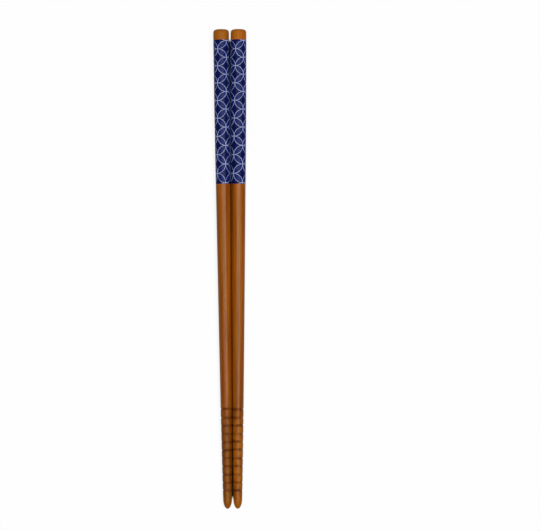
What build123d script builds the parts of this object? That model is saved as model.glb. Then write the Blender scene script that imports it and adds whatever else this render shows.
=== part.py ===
from build123d import *
from math import asin, atan, cos, degrees, sin
import os

# A pair of turned wooden chopsticks, lying side by side as they come to rest on a table.
# Lengths are in millimetres. +Y points to the handle ends and +Z up, and the origin is on the
# table under the middle of the pair. A station is a distance along a stick from its handle end.

# Turned wooden stick: a straight handle, then one long taper to the root of the nose
stick_length = 225.0
handle_diameter = 7.35
handle_length = 36.0
nose_diameter = 4.15
nose_length = 4.7

# The taper leaves the handle aimed at this point, short of the tip, and bends inside it
aim_diameter = 5.6
aim_to_tip = 36.0

# Soft dome at the handle end: flat in the middle, then rolling over into the side
dome_length = 2.2
dome_edge = 0.6

# Grip rings, cut with a pointed tool and counted from the one nearest the tip
ring_count = 11
ring_pitch = 3.8
ring_width = 0.8
ring_depth = 0.18
last_ring_to_tip = 8.7

# Printed film rolled round the handle, with its long edges meeting on the underside
film_thickness = 0.05
film_start = 5.0
film_length = 67.5
film_seam_gap = 0.3

# Room left between the two sticks where their films come closest
neighbour_clearance = 0.05

# Radii and stations that follow from the sizes above
handle_radius = handle_diameter / 2
nose_radius = nose_diameter / 2
aim_radius = aim_diameter / 2
aim_station = stick_length - aim_to_tip
nose_station = stick_length - nose_length
film_end = film_start + film_length


def handle_points(growth=0.0):
    """Ends of the handle's side, with its radius grown by the given amount."""
    radius = handle_radius + growth
    return (dome_length, radius), (handle_length, radius)


def taper_points(growth=0.0):
    """Control points of the taper's side, with its radii grown by the given amount."""
    return (
        (handle_length, handle_radius + growth),
        (aim_station, aim_radius + growth),
        (nose_station, nose_radius + growth),
    )


# Side of the bare stick, from the dome to the root of the nose
with BuildLine() as side:
    Line(*handle_points())
    Bezier(*taper_points())


def side_point(station):
    """Point on the stick's side at a station: the taper is so slight that its own length serves."""
    return side.wire().position_at(station - dome_length, position_mode=PositionMode.LENGTH)


# Half section of the stick: dome, handle, taper and rounded nose, notched by the grip rings
with BuildSketch() as stick_section:
    with BuildLine():
        dome = Bezier(
            (0, 0),
            (0, handle_radius - dome_edge),
            (dome_edge / 2, handle_radius),
            (dome_length, handle_radius),
        )
        Line(*handle_points())
        Bezier(*taper_points())
        nose = EllipticalCenterArc(
            (nose_station, 0),
            x_radius=nose_length,
            y_radius=nose_radius,
            arc_size=90,
        )
        Line(dome @ 0, nose @ 0)
    make_face()
    for ring in range(ring_count):
        with Locations(side_point(stick_length - last_ring_to_tip - ring * ring_pitch)):
            Polygon(
                (-ring_width, ring_depth),
                (ring_width, ring_depth),
                (0, -ring_depth),
                align=None,
                mode=Mode.SUBTRACT,
            )

# Section of the film: the skin between the stick's side and the same side grown by the film
with BuildSketch() as film_section:
    with BuildLine():
        inside = Line(*handle_points())
        Bezier(*taper_points())
        outside = Line(*handle_points(film_thickness))
        outer_taper = Bezier(*taper_points(film_thickness))
        Line(inside @ 0, outside @ 0)
        Line(taper_points()[-1], outer_taper @ 1)
    make_face()
    with Locations((film_start, 0)):
        Rectangle(
            film_length,
            handle_diameter,
            align=(Align.MIN, Align.MIN),
            mode=Mode.INTERSECT,
        )

# A stick rests on the lower edge of its film and, nearer the tip, on its bowed taper. The line
# through both drops least, of all lines from the film's edge to the taper. The sticks touch
# along the same kind of line, so one angle leans each axis down to the table and in to the other.
rest_samples = 200
film_edge = side_point(film_end) + Vector(0, film_thickness)
taper_side = [
    side_point(film_end + (nose_station - film_end) * sample / rest_samples)
    for sample in range(1, rest_samples)
]
lean = atan(min((film_edge.Y - point.Y) / (point.X - film_edge.X) for point in taper_side))
axis_height = film_edge.X * sin(lean) + film_edge.Y * cos(lean)
axis_offset = axis_height + neighbour_clearance / 2


def stick_plane(hand):
    """Upright plane through a stick's axis: local X runs to the tip and local Y down."""
    along = Vector(-hand * sin(lean) * cos(lean), -cos(lean) * cos(lean), -sin(lean))
    down = Vector(hand * sin(lean) * sin(lean), cos(lean) * sin(lean), -cos(lean))
    handle_end = (hand * axis_offset, stick_length / 2, axis_height)
    return Plane(origin=handle_end, x_dir=along, z_dir=along.cross(down))


film_seam_angle = degrees(2 * asin(film_seam_gap / 2 / handle_radius))

os.makedirs("parts", exist_ok=True)

for name, hand in (("left", -1), ("right", 1)):
    plane = stick_plane(hand)
    film_plane = Plane(plane.location * Rotation(film_seam_angle / 2, 0, 0))
    stick_axis = Axis(plane.origin, plane.x_dir)

    with BuildPart() as chopstick:
        with BuildSketch(plane):
            add(stick_section.sketch)
        revolve(axis=stick_axis)

    with BuildPart() as wrap:
        with BuildSketch(film_plane):
            add(film_section.sketch)
        revolve(axis=stick_axis, revolution_arc=360 - film_seam_angle)

    chopstick.part.label = f"{name}_chopstick"
    export_step(chopstick.part, f"parts/{name}_chopstick.step")
    wrap.part.label = f"{name}_wrap"
    export_step(wrap.part, f"parts/{name}_wrap.step")
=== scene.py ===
from math import cos, pi, radians, sin, sqrt
from random import Random
from typing import NamedTuple

import bmesh
import bpy
import numpy as np
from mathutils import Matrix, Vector


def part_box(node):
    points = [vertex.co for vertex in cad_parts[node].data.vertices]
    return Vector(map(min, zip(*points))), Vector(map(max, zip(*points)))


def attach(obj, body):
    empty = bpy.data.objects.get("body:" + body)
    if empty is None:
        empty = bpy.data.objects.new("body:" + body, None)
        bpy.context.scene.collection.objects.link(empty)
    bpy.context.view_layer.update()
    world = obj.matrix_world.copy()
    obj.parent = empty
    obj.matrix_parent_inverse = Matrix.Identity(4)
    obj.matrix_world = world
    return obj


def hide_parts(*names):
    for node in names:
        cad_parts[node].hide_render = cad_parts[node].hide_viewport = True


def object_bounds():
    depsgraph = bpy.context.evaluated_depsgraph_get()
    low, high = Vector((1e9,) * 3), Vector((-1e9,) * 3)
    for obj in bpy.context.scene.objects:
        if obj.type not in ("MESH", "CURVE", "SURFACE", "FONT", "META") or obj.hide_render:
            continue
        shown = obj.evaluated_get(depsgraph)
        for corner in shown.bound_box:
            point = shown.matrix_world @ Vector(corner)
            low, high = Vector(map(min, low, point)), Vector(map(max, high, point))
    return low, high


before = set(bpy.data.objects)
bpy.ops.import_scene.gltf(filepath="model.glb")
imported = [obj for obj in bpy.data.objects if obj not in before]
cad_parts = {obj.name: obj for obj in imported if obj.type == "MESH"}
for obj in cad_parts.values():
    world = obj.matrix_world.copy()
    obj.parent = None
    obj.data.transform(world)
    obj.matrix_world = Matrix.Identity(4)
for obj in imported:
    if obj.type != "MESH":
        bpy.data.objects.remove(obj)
cad_low, cad_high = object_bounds()

# Lengths are in metres, and a station is a distance along a stick from its handle end.
# Angles round a stick are in degrees, from its top, growing towards +X.
MM = 0.001

# Sizes of the turned stick, as its solid has them
HANDLE_RADIUS = 3.675 * MM
HANDLE_LENGTH = 36.0 * MM
DOME_LENGTH = 2.2 * MM
DOME_EDGE = 0.6 * MM
AIM_RADIUS = 2.8 * MM
AIM_TO_TIP = 36.0 * MM
NOSE_RADIUS = 2.075 * MM
NOSE_LENGTH = 4.7 * MM
RING_COUNT = 11
RING_PITCH = 3.8 * MM
RING_DEPTH = 0.18 * MM
LAST_RING_TO_TIP = 8.7 * MM

# A ring's notch, the stain that lacquer left round it, and how uneven the rings are
RING_REACH = 1.3 * MM
NOTCH_SPREAD = 0.36 * MM
STAIN_SPREAD = 0.62 * MM
RING_DRIFT = 0.16 * MM
RING_TILT = 0.05
RING_DEPTH_SHARES = (0.7, 1.1)
RING_STAIN_SHARES = (0.45, 1.0)
RING_STAIN_UNWORN = 0.5
RING_SEED = 38207

# Printed film: the sheet itself, and the pale ink that stands on it
FILM_START = 5.0 * MM
FILM_LENGTH = 67.5 * MM
FILM_END = FILM_START + FILM_LENGTH
FILM_HEIGHT = 0.025 * MM
FILM_SINK = 0.02 * MM
INK_HEIGHT = 0.015 * MM
SEAM_HALF_ANGLE = 2.34

# Interlocking circles: rows half a circle apart, whose spacing grows along the film
FIRST_ROW = 5.5 * MM
ROW_STEP_START = 3.87 * MM
ROW_STEP_END = 4.45 * MM
ROW_SPAN = 16
LATTICE_ROWS = range(-1, ROW_SPAN + 1)
LATTICE_COLUMNS = range(-4, 5)
LINE_HALF_WIDTH = 0.017

# Angles of the two rows of crossings that face up, at the film's start and at its end
CROSSINGS = {
    "left": ((-24.9, -45.9), (42.1, 19.0)),
    "right": ((-18.8, -38.9), (40.3, 34.1)),
}

# Mesh fineness
TAPER_SAMPLES = 300
DOME_ROWS = 22
FIRST_PLAIN_ROW = DOME_LENGTH + 3 * MM
PLAIN_ROW_STEP = 2 * MM
PLAIN_ROW_CLEARANCE = 1.1 * RING_REACH
ROWS_PER_RING = 23
NOSE_ROWS = 20
STICK_COLUMNS = 96
FILM_COLUMNS = 120
FILM_ROWS = 90
LINE_ROWS = 21

# How closely a CAD corner lies on its ring, and to how many digits lattice places agree
RING_TOLERANCE = 0.1 * MM
LATTICE_DIGITS = 6
LINE_ROW_DIGITS = 9

# Maps for baking: a long piece is unrolled in bands, with a margin round each
MAP_NAME = "OFBake"
MAP_MARGIN = 0.012
STICK_BANDS = 4
FILM_BANDS = 2
FILM_OUTSIDE = (0.0, 0.9)
FILM_INSIDE = (0.91, 0.97)
FILM_RIM = (0.98, 0.99)

ROOT = "root"


def bezier(points, count):
    """Evenly sampled Bezier curve through control points, as an array of points."""
    share = np.linspace(0, 1, count)[:, None]
    level = [np.array(point) * np.ones_like(share) for point in points]
    while len(level) > 1:
        level = [a * (1 - share) + b * share for a, b in zip(level, level[1:])]
    return level[0]


def node_points(name):
    """Corners of a CAD node's mesh, as an array."""
    return np.array([vertex.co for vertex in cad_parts[name].data.vertices])


class Stick:
    """A stick's straight axis, read from its CAD node, and the radius of its side."""

    def __init__(self, name):
        points = node_points(name)
        low, high = points.min(0), points.max(0)
        root = self.ring_middle(points, high[1] - DOME_LENGTH)
        nose = self.ring_middle(points, low[1] + NOSE_LENGTH)
        self.along = (nose - root).normalized()
        self.start = root - self.along * DOME_LENGTH
        self.length = (nose - self.start).length + NOSE_LENGTH
        side = Vector((1, 0, 0))
        self.right = (side - self.along * side.dot(self.along)).normalized()
        self.up = self.along.cross(self.right)
        taper = bezier(
            (
                (HANDLE_LENGTH, HANDLE_RADIUS),
                (self.length - AIM_TO_TIP, AIM_RADIUS),
                (self.length - NOSE_LENGTH, NOSE_RADIUS),
            ),
            TAPER_SAMPLES,
        )
        self.taper_stations, self.taper_radii = taper.T

    @staticmethod
    def ring_middle(points, y):
        """Middle of the ring of corners that lies across the stick at y."""
        ring = points[np.abs(points[:, 1] - y) < RING_TOLERANCE]
        return Vector((ring.min(0) + ring.max(0)) / 2)

    def radius(self, station):
        """Radius of the bare side at a station, or at each of several."""
        return np.interp(station, self.taper_stations, self.taper_radii)

    def place(self, station, radius, angle):
        """Points at these stations, radii and angles, as an array."""
        turn = np.radians(angle)[..., None]
        out = np.sin(turn) * np.array(self.right) + np.cos(turn) * np.array(self.up)
        reach = np.asarray(station)[..., None] * np.array(self.along)
        return np.array(self.start) + reach + np.asarray(radius)[..., None] * out


def make_piece(name, vertices, faces, material):
    """A smooth mesh piece that rides on the part."""
    mesh = bpy.data.meshes.new(name)
    mesh.from_pydata(vertices, [], faces)
    mesh.update()
    piece = bpy.data.objects.new(name, mesh)
    bpy.context.scene.collection.objects.link(piece)
    mesh.shade_smooth()
    mesh.materials.append(material)
    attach(piece, ROOT)
    return piece


def set_attribute(piece, name, values):
    """One number on each corner of a piece, for its material to read."""
    attribute = piece.data.attributes.new(name, "FLOAT", "POINT")
    attribute.data.foreach_set("value", np.asarray(values, np.float32).ravel())


def set_map(piece, name, corners):
    """A UV map from one (u, v) pair for each face corner."""
    layer = piece.data.uv_layers.new(name=name)
    layer.uv.foreach_set("vector", np.asarray(corners, np.float32).ravel())


def band_map(reach, first, row, column, columns, bands):
    """Places on a tube unrolled in bands, one above another; first is the first row of a face."""
    splits = np.searchsorted(reach, np.linspace(0, reach[-1], bands + 1))
    band = np.searchsorted(splits, first, side="right") - 1
    start, end = reach[splits[band]], reach[splits[band + 1]]
    room = 1 - 2 * MAP_MARGIN
    across = MAP_MARGIN + room * (reach[row] - start) / (end - start)
    up = (band + MAP_MARGIN + room * column / columns) / bands
    return np.stack((across, up), -1).reshape(-1, 2)


def stick_rows(stick, dice):
    """Rows of the stick's side: station, radius, stain, and tilt across and upright."""
    dome = bezier(
        (
            (0, 0),
            (0, HANDLE_RADIUS - DOME_EDGE),
            (DOME_EDGE / 2, HANDLE_RADIUS),
            (DOME_LENGTH, HANDLE_RADIUS),
        ),
        DOME_ROWS,
    )[1:]
    rows = [(station, radius, 0, 0, 0) for station, radius in dome]
    nose_root = stick.length - NOSE_LENGTH
    rings = [
        stick.length - LAST_RING_TO_TIP - ring * RING_PITCH + dice.uniform(-1, 1) * RING_DRIFT
        for ring in reversed(range(RING_COUNT))
    ]
    for station in np.arange(FIRST_PLAIN_ROW, nose_root, PLAIN_ROW_STEP):
        if all(abs(station - ring) > PLAIN_ROW_CLEARANCE for ring in rings):
            rows.append((station, stick.radius(station), 0, 0, 0))
    for ring in rings:
        tilt_x = dice.uniform(-1, 1) * RING_TILT
        tilt_z = dice.uniform(-1, 1) * RING_TILT
        depth = RING_DEPTH * dice.uniform(*RING_DEPTH_SHARES)
        strength = dice.uniform(*RING_STAIN_SHARES)
        for away in np.linspace(-RING_REACH, RING_REACH, ROWS_PER_RING):
            notch = np.exp(-((away / NOTCH_SPREAD) ** 2))
            stain = np.exp(-((away / STAIN_SPREAD) ** 2)) * strength
            radius = stick.radius(ring + away) - depth * notch
            rows.append((ring + away, radius, stain, tilt_x, tilt_z))
    rows.append((nose_root, NOSE_RADIUS, 0, 0, 0))
    for turn in np.linspace(0, 90, NOSE_ROWS)[1:-1]:
        station = nose_root + NOSE_LENGTH * sin(radians(turn))
        rows.append((station, NOSE_RADIUS * cos(radians(turn)), 0, 0, 0))
    rows.sort()
    return np.array(rows)


def lathe_faces(row_count, column_count):
    """Quads of a closed tube of rows, then the fans to a single corner at each end."""
    faces = []
    for row in range(row_count - 1):
        for column in range(column_count):
            after = (column + 1) % column_count
            low, high = row * column_count, (row + 1) * column_count
            faces.append((low + column, high + column, high + after, low + after))
    pole = row_count * column_count
    last = (row_count - 1) * column_count
    around = [(column, (column + 1) % column_count) for column in range(column_count)]
    faces += [(pole, column, after) for column, after in around]
    faces += [(pole + 1, last + after, last + column) for column, after in around]
    return faces


def lathe_map(station, radius, tip, column_count):
    """Places on the map for the corners of lathe_faces, in the same order."""
    steps = np.hypot(np.diff(station, prepend=0, append=tip), np.diff(radius, prepend=0, append=0))
    reach = np.append(0, steps.cumsum())
    row, column = np.indices((len(station) - 1, column_count)).reshape(2, -1, 1)
    fan = np.arange(column_count)[:, None]
    last = len(station)
    parts = (
        (row + 1, row + [1, 2, 2, 1], column + [0, 0, 1, 1]),
        (0 * fan, 0 * fan + [0, 1, 1], fan + [0.5, 0, 1]),
        (0 * fan + last, 0 * fan + [last + 1, last, last], fan + [0.5, 1, 0]),
    )
    return np.concatenate(
        [
            band_map(reach, first, rows, turn, column_count, STICK_BANDS)
            for first, rows, turn in parts
        ]
    )


def make_stick(side, material):
    """The turned stick that stands for a CAD stick: same form, finer, with uneven rings."""
    stick = Stick(f"{side}_chopstick")
    dice = Random(f"{side} {RING_SEED}")
    rows = stick_rows(stick, dice)
    angles = np.arange(STICK_COLUMNS) * 360 / STICK_COLUMNS
    station, radius, stain, tilt_x, tilt_z = (rows[:, [column]] for column in range(5))
    turn = np.radians(angles)[None, :]
    lean = radius * (tilt_x * np.sin(turn) + tilt_z * np.cos(turn))
    grid = stick.place(station + lean, radius + 0 * turn, angles[None, :] + 0 * station)
    poles = [stick.start, stick.start + stick.along * stick.length]
    vertices = [*grid.reshape(-1, 3), *poles]
    faces = lathe_faces(len(rows), STICK_COLUMNS)
    piece = make_piece(f"{side}_turned_stick", vertices, faces, material)
    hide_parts(f"{side}_chopstick")
    ring_stain = np.append(np.repeat(stain[:, 0], STICK_COLUMNS), (0, 0))
    set_attribute(piece, "stain", ring_stain)
    along = np.append(np.repeat(station[:, 0], STICK_COLUMNS), (0, stick.length))
    set_attribute(piece, "station", along)
    places = lathe_map(station[:, 0], radius[:, 0], stick.length, STICK_COLUMNS)
    set_map(piece, MAP_NAME, places)
    return stick


def row_station(row):
    """Station of a row of crossings, which need not be a whole number."""
    growth = (ROW_STEP_END - ROW_STEP_START) / (2 * ROW_SPAN)
    return FIRST_ROW + ROW_STEP_START * row + growth * row**2


def station_row(station):
    """The row at a station: row_station turned round."""
    growth = (ROW_STEP_END - ROW_STEP_START) / (2 * ROW_SPAN)
    spread = ROW_STEP_START**2 + 4 * growth * (station - FIRST_ROW)
    return (np.sqrt(spread) - ROW_STEP_START) / (2 * growth)


def crossing_angles(side, station):
    """Angles of lattice columns 0 and 1 at a station."""
    share = (station - FILM_START) / FILM_LENGTH
    return [first + (last - first) * share for first, last in CROSSINGS[side]]


def film_map(quads, wall_count):
    """Places on the map for the film's outside, its inside and the walls of its rim."""
    reach = np.arange(FILM_ROWS + 1.0)
    places = []
    for corners, bands, (low, high) in (
        (quads, FILM_BANDS, FILM_OUTSIDE),
        (quads[:, ::-1], 1, FILM_INSIDE),
    ):
        row, column = np.divmod(corners, FILM_COLUMNS + 1)
        spots = band_map(reach, row.min(1)[:, None], row, column, FILM_COLUMNS, bands)
        spots[:, 1] = low + (high - low) * spots[:, 1]
        places.append(spots)
    across = (np.arange(wall_count)[:, None] + [0, 1, 1, 0]) / wall_count
    up = 0 * across + [FILM_RIM[0], FILM_RIM[0], FILM_RIM[1], FILM_RIM[1]]
    places.append(np.stack((across, up), -1).reshape(-1, 2))
    return np.concatenate(places)


def make_film(side, stick, material):
    """The film that stands for a CAD wrap: a thin closed sheet with its seam underneath."""
    reach = 180 - SEAM_HALF_ANGLE
    angle, station = np.meshgrid(
        np.linspace(-reach, reach, FILM_COLUMNS + 1),
        np.linspace(FILM_START, FILM_END, FILM_ROWS + 1),
    )
    bare = stick.radius(station)
    outer = stick.place(station, bare + FILM_HEIGHT, angle)
    inner = stick.place(station, bare - FILM_SINK, angle)
    sheet = (FILM_ROWS + 1) * (FILM_COLUMNS + 1)
    index = np.arange(sheet).reshape(angle.shape)
    quads = np.stack((index[:-1, :-1], index[1:, :-1], index[1:, 1:], index[:-1, 1:]), -1)
    quads = quads.reshape(-1, 4)
    rim = [
        *index[0, :-1],
        *index[:-1, -1],
        *index[-1, :0:-1],
        *index[:0:-1, 0],
    ]
    walls = [(a, b, b + sheet, a + sheet) for a, b in zip(rim, rim[1:] + rim[:1])]
    faces = np.concatenate((quads, quads[:, ::-1] + sheet, walls)).tolist()
    vertices = [*outer.reshape(-1, 3), *inner.reshape(-1, 3)]
    piece = make_piece(f"{side}_film", vertices, faces, material)
    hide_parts(f"{side}_wrap")
    first, second = crossing_angles(side, station)
    lattice = np.stack(((angle - first) / (second - first), station_row(station)), -1)
    lattice = np.tile(lattice.reshape(-1, 2), (2, 1))
    corners = np.array([loop.vertex_index for loop in piece.data.loops])
    set_map(piece, "lattice", lattice[corners])
    set_map(piece, MAP_NAME, film_map(quads, len(walls)))


def line_strips():
    """Rows across the two lines in a lattice square: place on its diagonal, and six levels."""
    inner, outer = 1 - LINE_HALF_WIDTH, 1 + LINE_HALF_WIDTH
    half = sqrt(0.5)
    merge = sqrt(inner**2 - 0.5)
    leave = (sqrt(outer**2 - 1) - 1) / sqrt(2)
    evenly = np.round(np.linspace(-merge, merge, LINE_ROWS), LINE_ROW_DIGITS)
    ends = (-half, half, -(half + merge) / 2, (half + merge) / 2)
    strips = []
    for along in sorted({*evenly, *ends, leave, -leave}):
        far = sqrt(max(outer**2 - along**2, 0)) - half
        far = max(min(far, half - abs(along)), 0)
        near = sqrt(max(inner**2 - along**2, 0)) - half
        near = 0 if abs(along) > merge else min(max(near, 0), far)
        middle = (far + near) / 2
        strips.append((along, (-far, -middle, -near, near, middle, far)))
    return strips


def print_square(strips, add_corner, add_face, column, row):
    """The lines of two circles inside one square of the lattice, whose centres are corners."""
    half = sqrt(0.5)
    flip = (column + row) % 2
    placed = []
    for along, levels in strips:
        corners = []
        for level in levels:
            x = (level - along + half) / sqrt(2)
            y = (level + along + half) / sqrt(2)
            if flip:
                x = 1 - x
            corners.append(add_corner(column + x, row + y))
        placed.append(corners)
    # The leaf between the two lines, from level 2 to level 3, stays open
    for low, high in zip(placed, placed[1:]):
        for level in (0, 1, 3, 4):
            quad = [low[level], low[level + 1], high[level + 1], high[level]]
            add_face(quad if flip else quad[::-1])


def flat_print(side):
    """The lattice's lines as a flat mesh of angle and station, cut to the film's edges."""
    flat = bmesh.new()
    known = {}

    def add_corner(column, row):
        key = (round(column, LATTICE_DIGITS), round(row, LATTICE_DIGITS))
        if key not in known:
            station = row_station(row)
            first, second = crossing_angles(side, station)
            angle = first + (second - first) * column
            known[key] = flat.verts.new((radians(angle) * HANDLE_RADIUS, station, 0))
        return known[key]

    def add_face(quad):
        corners = list(dict.fromkeys(quad))
        if len(corners) > 2:
            flat.faces.new(corners)

    strips = line_strips()
    for column in LATTICE_COLUMNS:
        for row in LATTICE_ROWS:
            print_square(strips, add_corner, add_face, column, row)
    reach = radians(180 - SEAM_HALF_ANGLE) * HANDLE_RADIUS
    edges = (
        ((-reach, 0, 0), (-1, 0, 0)),
        ((reach, 0, 0), (1, 0, 0)),
        ((0, FILM_START, 0), (0, -1, 0)),
        ((0, FILM_END, 0), (0, 1, 0)),
    )
    for point, outward in edges:
        everything = [*flat.verts, *flat.edges, *flat.faces]
        bmesh.ops.bisect_plane(
            flat, geom=everything, plane_co=point, plane_no=outward, clear_outer=True
        )
    return flat


def make_print(side, stick, material):
    """The pale lines, as a thin closed layer of ink that stands on the film."""
    flat = flat_print(side)
    flat.verts.index_update()
    count = len(flat.verts)
    spots = np.array([vertex.co for vertex in flat.verts])
    angle, station = np.degrees(spots[:, 0] / HANDLE_RADIUS), spots[:, 1]
    bare = stick.radius(station)
    top = stick.place(station, bare + FILM_HEIGHT + INK_HEIGHT, angle)
    bottom = stick.place(station, bare + FILM_HEIGHT / 2, angle)
    faces = []
    for face in flat.faces:
        corners = [vertex.index for vertex in face.verts]
        faces.append(corners)
        faces.append([corner + count for corner in reversed(corners)])
        for loop in face.loops:
            if len(loop.edge.link_faces) == 1:
                a, b = loop.vert.index, loop.link_loop_next.vert.index
                faces.append([b, a, a + count, b + count])
    flat.free()
    make_piece(f"{side}_print", [*top, *bottom], faces, material)


def display(tone):
    """Linear colour of a tone: red, green and blue from 0 to 255, as a screen shows them."""
    shares = [value / 255 for value in tone]
    linear = [s / 12.92 if s <= 0.04045 else ((s + 0.055) / 1.055) ** 2.4 for s in shares]
    return (*linear, 1)


def new_material(name):
    """An empty material, its tree and its shader."""
    material = bpy.data.materials.new(name)
    material.use_nodes = True
    tree = material.node_tree
    return material, tree, tree.nodes["Principled BSDF"]


def add_node(tree, kind, inputs=(), **settings):
    """A node with its settings, and with inputs as (socket, value or other socket) pairs."""
    made = tree.nodes.new(kind)
    for name, value in settings.items():
        setattr(made, name, value)
    for socket, value in inputs:
        if isinstance(value, bpy.types.NodeSocket):
            tree.links.new(value, made.inputs[socket])
        else:
            made.inputs[socket].default_value = value
    return made


def calc(tree, operation, *values):
    """The result of one step of arithmetic."""
    return add_node(tree, "ShaderNodeMath", enumerate(values), operation=operation).outputs[0]


def mix(tree, share, first, second):
    """A colour between two, by share."""
    made = add_node(
        tree, "ShaderNodeMix", ((0, share), (6, first), (7, second)), data_type="RGBA"
    )
    return made.outputs[2]


def ranged(tree, value, low, high, low_result=0.0, high_result=1.0):
    """A value mapped smoothly from one range to another."""
    made = add_node(
        tree,
        "ShaderNodeMapRange",
        ((0, value), (1, low), (2, high), (3, low_result), (4, high_result)),
        interpolation_type="SMOOTHSTEP",
    )
    return made.outputs[0]


def attribute(tree, name):
    """A number that the mesh carries."""
    return add_node(tree, "ShaderNodeAttribute", attribute_name=name).outputs["Fac"]


class Grain(NamedTuple):
    """Noise drawn out along the sticks, and the part of its range in which it comes up."""

    fineness: float
    stretch: float
    low: float
    high: float
    detail: float = 3.0
    offset: tuple = (0, 0, 0)


GRAIN_ROUGHNESS = 0.55


def grained(tree, grain, low_result=0.0, high_result=1.0):
    """How strongly a grain shows: its low result where it is absent, its high one where full."""
    place = add_node(tree, "ShaderNodeTexCoord").outputs["Object"]
    squeeze = (1, 1 / grain.stretch, 1)
    drawn = add_node(
        tree,
        "ShaderNodeMapping",
        (("Vector", place), ("Location", grain.offset), ("Scale", squeeze)),
    ).outputs[0]
    noise = add_node(
        tree,
        "ShaderNodeTexNoise",
        (
            ("Vector", drawn),
            ("Scale", grain.fineness),
            ("Detail", grain.detail),
            ("Roughness", GRAIN_ROUGHNESS),
        ),
    ).outputs[0]
    return ranged(tree, noise, grain.low, grain.high, low_result, high_result)


# Grain of the wood, from its broad figure to its pores, and the patches where hands wore it
FIGURE = Grain(520, 60, 0.38, 0.62)
GOLDEN = Grain(1000, 90, 0.42, 0.66, 2.0, (0.7, 0.3, 0.1))
DARK = Grain(1500, 90, 0.45, 0.68, 2.0, (0.1, 0.9, 0.5))
STREAKS = Grain(2300, 110, 0.42, 0.62, 2.0, (0.6, 0.2, 0.8))
FIBRES = Grain(5200, 110, 0.3, 0.7, 2.0)
PORES = Grain(3600, 26, 0.66, 0.76, 1.0, (0.3, 0.1, 0.7))
WORN = Grain(620, 2, 0.35, 0.65, 4.0, (0.2, 0.5, 0.4))

# Tones of the wood's grain, of its lower half, and of the stains on its grip and in its rings
FIGURE_TONES = ((138, 80, 2), (152, 70, 6))
GOLDEN_TONE = (176, 104, 6)
DARK_TONE = (108, 48, 0)
STREAK_TONE = (174, 84, 16)
FIBRE_TONE = (98, 46, 6)
PORE_TONE = (66, 28, 4)
LOWER_TONE = (92, 42, 0)
SMUDGE_TONE = (92, 36, 0)
RING_TONE = (84, 34, 0)

# Tones that each stick's wood turns to at its handle end, along its grip and at its tip
BUTT_TONES = {"left": (164, 94, 0), "right": (184, 102, 0)}
GRIP_TONES = {"left": (116, 63, 0), "right": (176, 98, 0)}
TIP_TONES = {"left": (150, 92, 0), "right": (144, 78, 0)}

# Where the wood's tone changes: from one station to another, or between distances from the tip
BUTT_STATIONS = (FILM_START, FILM_START + 2 * MM)
LOWER_START = FILM_END + 20 * MM
LOWER_TO_TIP = 60 * MM
HELD_TO_TIP = (50 * MM, 32 * MM)
GRIP_TO_TIP = (56 * MM, 44 * MM)
GRIP_FADE = 8 * MM
POINT_TO_TIP = (12 * MM, 6 * MM)

# Lacquer: its gloss, what dulls it, and the faint relief of the wood under it
LACQUER_ROUGHNESS = (0.38, 0.43)
BUTT_DULLNESS = 0.2
GRIP_DULLNESS = 0.06
LACQUER_SPECULAR = 0.26
LACQUER_TINT = (1.0, 0.88, 0.6, 1)
PORE_RELIEF = -1.5
RELIEF_STRENGTH = 0.35
RELIEF_HEIGHT = 0.012 * MM


def wood_material(side, stick_length):
    """Brown wood with fine straight grain under a satin lacquer, darker in the rings."""
    material, tree, shader = new_material(f"{side}_lacquered_wood")
    station = attribute(tree, "station")

    def nearing_tip(start, end):
        """Rises from 0 to 1 between two distances from the tip."""
        return ranged(tree, station, stick_length - start, stick_length - end)

    fibres, pores, worn = (grained(tree, grain) for grain in (FIBRES, PORES, WORN))
    butt = ranged(tree, station, *BUTT_STATIONS, 1, 0)
    lower = ranged(tree, station, LOWER_START, stick_length - LOWER_TO_TIP)
    before_tip = ranged(tree, station, stick_length - GRIP_FADE, stick_length, 1, 0)
    grip = calc(tree, "MULTIPLY", nearing_tip(*GRIP_TO_TIP), before_tip)
    smudge = calc(tree, "MULTIPLY", grip, worn)
    ring_worn = ranged(tree, worn, 0, 1, RING_STAIN_UNWORN, 1)
    ring = calc(tree, "MULTIPLY", attribute(tree, "stain"), ring_worn)

    colour = mix(tree, grained(tree, FIGURE), *(display(tone) for tone in FIGURE_TONES))
    for level, share, tone in (
        (grained(tree, GOLDEN), 0.8, GOLDEN_TONE),
        (grained(tree, DARK), 0.75, DARK_TONE),
        (grained(tree, STREAKS), 0.5, STREAK_TONE),
        (fibres, 0.25, FIBRE_TONE),
        (pores, 0.5, PORE_TONE),
        (butt, 0.5, BUTT_TONES[side]),
        (lower, 0.18, LOWER_TONE),
        (nearing_tip(*HELD_TO_TIP), 0.6, GRIP_TONES[side]),
        (nearing_tip(*POINT_TO_TIP), 0.4, TIP_TONES[side]),
        (smudge, 0.45, SMUDGE_TONE),
        (ring, 1, RING_TONE),
    ):
        colour = mix(tree, calc(tree, "MULTIPLY", level, share), colour, display(tone))
    tree.links.new(colour, shader.inputs["Base Color"])

    dull_butt = calc(tree, "MULTIPLY", butt, BUTT_DULLNESS)
    dull_grip = calc(tree, "MULTIPLY", grip, GRIP_DULLNESS)
    rough = ranged(tree, fibres, 0, 1, *LACQUER_ROUGHNESS)
    rough = calc(tree, "ADD", rough, calc(tree, "MAXIMUM", dull_butt, dull_grip))
    tree.links.new(rough, shader.inputs["Roughness"])
    relief = calc(tree, "ADD", fibres, calc(tree, "MULTIPLY", pores, PORE_RELIEF))
    bump = add_node(
        tree,
        "ShaderNodeBump",
        (("Height", relief), ("Strength", RELIEF_STRENGTH), ("Distance", RELIEF_HEIGHT)),
    )
    tree.links.new(bump.outputs[0], shader.inputs["Normal"])
    shader.inputs["Specular IOR Level"].default_value = LACQUER_SPECULAR
    shader.inputs["Specular Tint"].default_value = LACQUER_TINT
    return material


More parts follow.
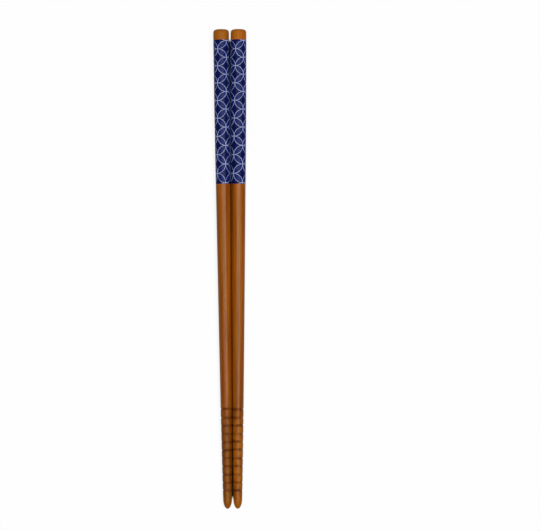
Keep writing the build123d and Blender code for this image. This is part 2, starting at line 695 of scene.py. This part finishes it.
def lattice_square(tree):
    """Place inside a lattice square, turned so that circle centres are at (0, 0) and (1, 1)."""
    lattice = add_node(tree, "ShaderNodeUVMap", uv_map="lattice").outputs[0]
    whole = add_node(tree, "ShaderNodeVectorMath", ((0, lattice),), operation="FLOOR")
    part = add_node(tree, "ShaderNodeVectorMath", ((0, lattice),), operation="FRACTION")
    whole = add_node(tree, "ShaderNodeSeparateXYZ", ((0, whole.outputs[0]),)).outputs
    part = add_node(tree, "ShaderNodeSeparateXYZ", ((0, part.outputs[0]),)).outputs
    odd = calc(tree, "FLOORED_MODULO", calc(tree, "ADD", whole[0], whole[1]), 2.0)
    across = calc(tree, "ABSOLUTE", calc(tree, "SUBTRACT", odd, part[0]))
    return across, part[1]


# Film and ink: their clouds and flecks, and their tones; leaves are ruled with lighter lines
FILM_CLOUD = Grain(260, 1.5, 0.3, 0.7)
FILM_FLECK = Grain(6000, 1, 0.2, 0.8, 2.0)
INK_CLOUD = Grain(1800, 1, 0.3, 0.7)
STAR_TONES = ((0, 17, 71), (6, 9, 77))
LEAF_LINE_TONE = (15, 36, 108)
LEAF_GROUND_TONE = (0, 13, 78)
INK_TONES = ((190, 204, 255), (208, 220, 255))
LEAF_EDGE = 0.015
LEAF_LINES = 12.0
LEAF_LINE_EDGES = (0.12, 0.32)
PRINT_ROUGHNESS = (0.37, 0.43)
FILM_SPECULAR = 0.09
INK_SPECULAR = 0.14


def film_material():
    """Dark blue printed film: deep stars, and leaves between them, finely ruled in lighter blue."""
    material, tree, shader = new_material("printed_film")
    across, along = lattice_square(tree)
    spot = add_node(tree, "ShaderNodeCombineXYZ", ((0, across), (1, along))).outputs[0]
    reaches = [
        add_node(
            tree, "ShaderNodeVectorMath", ((0, spot), (1, centre)), operation="DISTANCE"
        ).outputs["Value"]
        for centre in ((0, 0, 0), (1, 1, 0))
    ]
    farthest = calc(tree, "MAXIMUM", *reaches)
    leaf = ranged(tree, farthest, 1 - LEAF_EDGE, 1 + LEAF_EDGE, 1, 0)
    rule = calc(tree, "MULTIPLY", calc(tree, "ADD", across, along), LEAF_LINES)
    rule = ranged(tree, calc(tree, "PINGPONG", rule, 0.5), *LEAF_LINE_EDGES)
    star = mix(tree, grained(tree, FILM_CLOUD), *(display(tone) for tone in STAR_TONES))
    ruled = mix(tree, rule, display(LEAF_LINE_TONE), display(LEAF_GROUND_TONE))
    tree.links.new(mix(tree, leaf, star, ruled), shader.inputs["Base Color"])
    tree.links.new(grained(tree, FILM_FLECK, *PRINT_ROUGHNESS), shader.inputs["Roughness"])
    shader.inputs["Specular IOR Level"].default_value = FILM_SPECULAR
    return material


def ink_material():
    """Pale violet-blue ink, a little uneven."""
    material, tree, shader = new_material("pale_ink")
    cloud = grained(tree, INK_CLOUD)
    colour = mix(tree, cloud, *(display(tone) for tone in INK_TONES))
    tree.links.new(colour, shader.inputs["Base Color"])
    rough = ranged(tree, cloud, 0, 1, *PRINT_ROUGHNESS)
    tree.links.new(rough, shader.inputs["Roughness"])
    shader.inputs["Specular IOR Level"].default_value = INK_SPECULAR
    return material


# Camera: straight above, its frame turned a little so that the pair leans as in the picture
IMAGE_WIDTH = 540
METRES_PER_PIXEL = 0.0004689
SENSOR = 36.0
CAMERA_HEIGHT = 1.5
CAMERA_PLACE = (0.01819, 0.00158)
CAMERA_TURN = -0.35
CAMERA_REACH = 20.0


def make_camera():
    """The camera, with the lens that gives the picture's scale halfway up the sticks."""
    data = bpy.data.cameras.new("camera")
    data.sensor_width = SENSOR
    subject_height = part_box("left_chopstick")[1].z / 2
    data.lens = SENSOR * (CAMERA_HEIGHT - subject_height) / (IMAGE_WIDTH * METRES_PER_PIXEL)
    data.clip_end = CAMERA_REACH
    camera = bpy.data.objects.new("camera", data)
    camera.location = (*CAMERA_PLACE, CAMERA_HEIGHT)
    camera.rotation_euler = (0, 0, radians(CAMERA_TURN))
    bpy.context.scene.collection.objects.link(camera)
    bpy.context.scene.camera = camera


# Light: a soft lamp on each side of the camera, a dim studio and its pale walls far off
LAMP_ANGLE = 16.0
LAMPS = (("left_lamp", -11.0, 0.36), ("right_lamp", 18.0, 0.62))
SKY_LEVEL = 0.03
WALL_LEVEL = 0.17
WALL_TOP = 0.14
WALL_FADE = 0.24


def make_lamps():
    """The lamps: each has a name, a tilt, and the light that it gives a level surface."""
    for name, tilt, level in LAMPS:
        data = bpy.data.lights.new(name, "SUN")
        data.angle = radians(LAMP_ANGLE)
        data.energy = level * pi / cos(radians(tilt))
        lamp = bpy.data.objects.new(name, data)
        lamp.rotation_euler = (0, radians(tilt), 0)
        bpy.context.scene.collection.objects.link(lamp)


def make_sky():
    """White walls round the horizon and a dim ceiling."""
    world = bpy.data.worlds.new("sky")
    world.use_nodes = True
    bpy.context.scene.world = world
    tree = world.node_tree
    way = add_node(tree, "ShaderNodeTexCoord").outputs["Generated"]
    height = add_node(tree, "ShaderNodeSeparateXYZ", ((0, way),)).outputs[2]
    level = ranged(tree, height, WALL_TOP, WALL_FADE, WALL_LEVEL, SKY_LEVEL)
    background = tree.nodes["Background"]
    background.inputs["Color"].default_value = (1, 1, 1, 1)
    tree.links.new(level, background.inputs["Strength"])


# Floor: what sees it finds a nearly white glow, but not in the slot between the sticks, where the
# glow is off and a dark warm tone is painted shade
FLOOR_SIZE = 40.0
FLOOR_BOUNCE = (0.18, 0.18, 0.18, 1)
FLOOR_TONE = (0.12, 0.12, 0.12, 1)
# Painted shade: the dark warm tone that the floor takes between the sticks, for their deep shadow
# and the wood's warm bounce
SLOT_PAINTED_SHADE = (0.08, 0.06, 0.045, 1)
FLOOR_GLOW = 0.8675
GLOW_ASIDE = (0.8 * MM, 2.8 * MM)
GLOW_BEYOND = (106.4 * MM, 108.6 * MM)


def floor_material():
    """Pale floor that keeps a soft shadow in view, with painted shade in the slot between the
    sticks, and gives other surfaces a dim bounce.
    """
    material, tree, shader = new_material("pale_floor")
    tree.nodes.remove(shader)
    place = add_node(tree, "ShaderNodeTexCoord").outputs["Object"]
    across, along = add_node(tree, "ShaderNodeSeparateXYZ", ((0, place),)).outputs[:2]
    aside = ranged(tree, calc(tree, "ABSOLUTE", across), *GLOW_ASIDE)
    beyond = ranged(tree, calc(tree, "ABSOLUTE", along), *GLOW_BEYOND)
    clear = calc(tree, "MAXIMUM", aside, beyond)
    glow = calc(tree, "MULTIPLY", clear, FLOOR_GLOW)
    # Painted shade: between the sticks the floor turns to the dark warm slot tone
    tone = mix(tree, clear, SLOT_PAINTED_SHADE, FLOOR_TONE)
    lit = add_node(tree, "ShaderNodeBsdfDiffuse", ((0, tone),))
    own = add_node(tree, "ShaderNodeEmission", (("Strength", glow),))
    seen = add_node(tree, "ShaderNodeAddShader", ((0, lit.outputs[0]), (1, own.outputs[0])))
    bounce = add_node(tree, "ShaderNodeBsdfDiffuse", ((0, FLOOR_BOUNCE),))
    path = add_node(tree, "ShaderNodeLightPath").outputs
    looks = calc(tree, "MAXIMUM", path["Is Camera Ray"], path["Is Glossy Ray"])
    looks = calc(tree, "MAXIMUM", looks, path["Is Transmission Ray"])
    both = add_node(
        tree,
        "ShaderNodeMixShader",
        ((0, looks), (1, bounce.outputs[0]), (2, seen.outputs[0])),
    )
    tree.links.new(both.outputs[0], tree.nodes["Material Output"].inputs["Surface"])
    return material


def make_floor():
    """A wide level floor under the pair."""
    half = FLOOR_SIZE / 2
    mesh = bpy.data.meshes.new("floor")
    corners = [(-half, -half, 0), (half, -half, 0), (half, half, 0), (-half, half, 0)]
    mesh.from_pydata(corners, [], [(0, 1, 2, 3)])
    mesh.materials.append(floor_material())
    floor = bpy.data.objects.new("floor", mesh)
    bpy.context.scene.collection.objects.link(floor)


make_camera()
make_lamps()
make_sky()
make_floor()

pair_length = cad_high.y - cad_low.y
film = film_material()
ink = ink_material()
for side in ("left", "right"):
    stick = make_stick(side, wood_material(side, pair_length))
    make_film(side, stick, film)
    make_print(side, stick, ink)

bpy.context.scene.view_settings.view_transform = "Standard"
